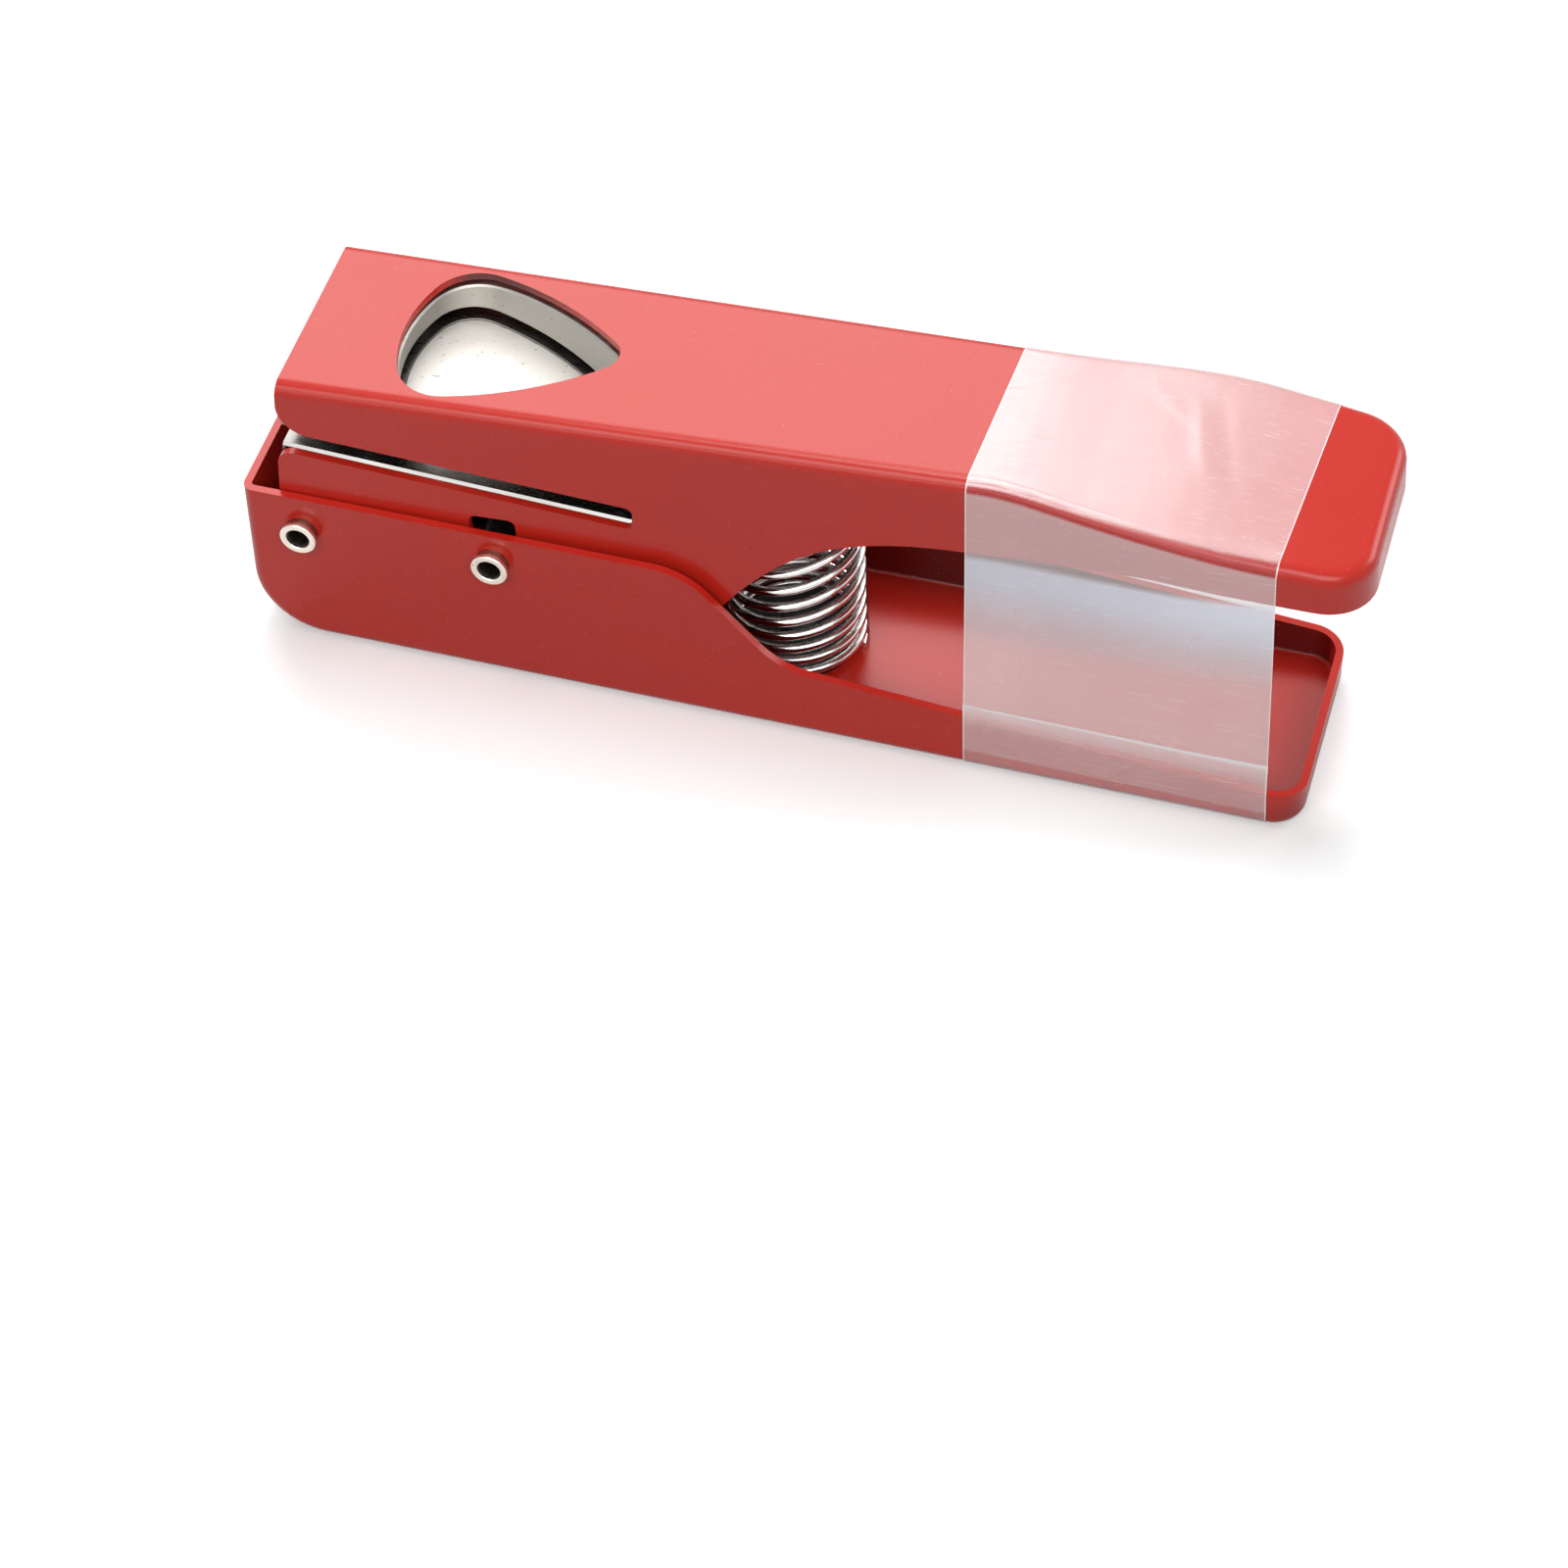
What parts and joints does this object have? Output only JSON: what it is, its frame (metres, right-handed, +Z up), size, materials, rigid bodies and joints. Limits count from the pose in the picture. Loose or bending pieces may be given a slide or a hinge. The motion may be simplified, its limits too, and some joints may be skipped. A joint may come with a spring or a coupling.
{
  "type": "guitar pick punch",
  "caption": "Hand punch whose hinged handle drives a pick-shaped die down over a fixed punch, with a coil return spring and a clear film band.",
  "frame": {"origin": "on the surface that the tool stands on, in the middle of its length and width", "axes": "+X from the hinge end towards the nose, +Y across, to the left of someone behind the hinge who looks at the nose, +Z up"},
  "size_m": [0.169, 0.0398, 0.0568],
  "materials": {
    "red_paint": "satin",
    "die_steel": "satin",
    "plain_steel": "satin",
    "screw_steel": "satin",
    "pin_nickel": "satin",
    "spring_chrome": "polished",
    "seat_plastic": "matte",
    "clear_film": "gloss"
  },
  "bodies": {
    "base": {"base_tray": "red_paint", "pivot_pin": "pin_nickel", "drive_pin": "pin_nickel", "drive_pin_spacers": "plain_steel", "return_spring": "spring_chrome", "spring_seat": "seat_plastic", "spring_seat_rivet": "pin_nickel", "film_band": "clear_film", "film_tail": "clear_film"},
    "handle": {"handle_shell": "red_paint", "chute_block": "die_steel", "die_plate": "die_steel", "die_spacers": "plain_steel", "die_screws": "screw_steel", "throat_block": "die_steel", "throat_screws": "screw_steel", "guide_plate": "die_steel", "pivot_sleeve": "plain_steel", "spring_cap": "seat_plastic"},
    "punch": {"punch_head": "die_steel", "punch_carrier": "plain_steel", "punch_screws": "screw_steel"}
  },
  "joints": [
    {"name": "handle_press", "type": "hinge", "parent": "base", "child": "handle", "pos_m": [-0.0754, 0, 0.02265], "axis": [0, 1, 0], "range_deg": [-12.5, 8.5], "stiffness_Nm_per_rad": 2.3, "springref_deg": -2.58, "deforming": ["return_spring", "film_band"]},
    {"name": "punch_stroke", "type": "slide", "parent": "handle", "child": "punch", "axis": [0.0536, 0, 0.9986], "range_m": [-0.0067, 0.0047]}
  ],
  "couplings": [
    {"joint": "punch_stroke", "follows": "handle_press", "m_per_rad": 0.03}
  ]
}
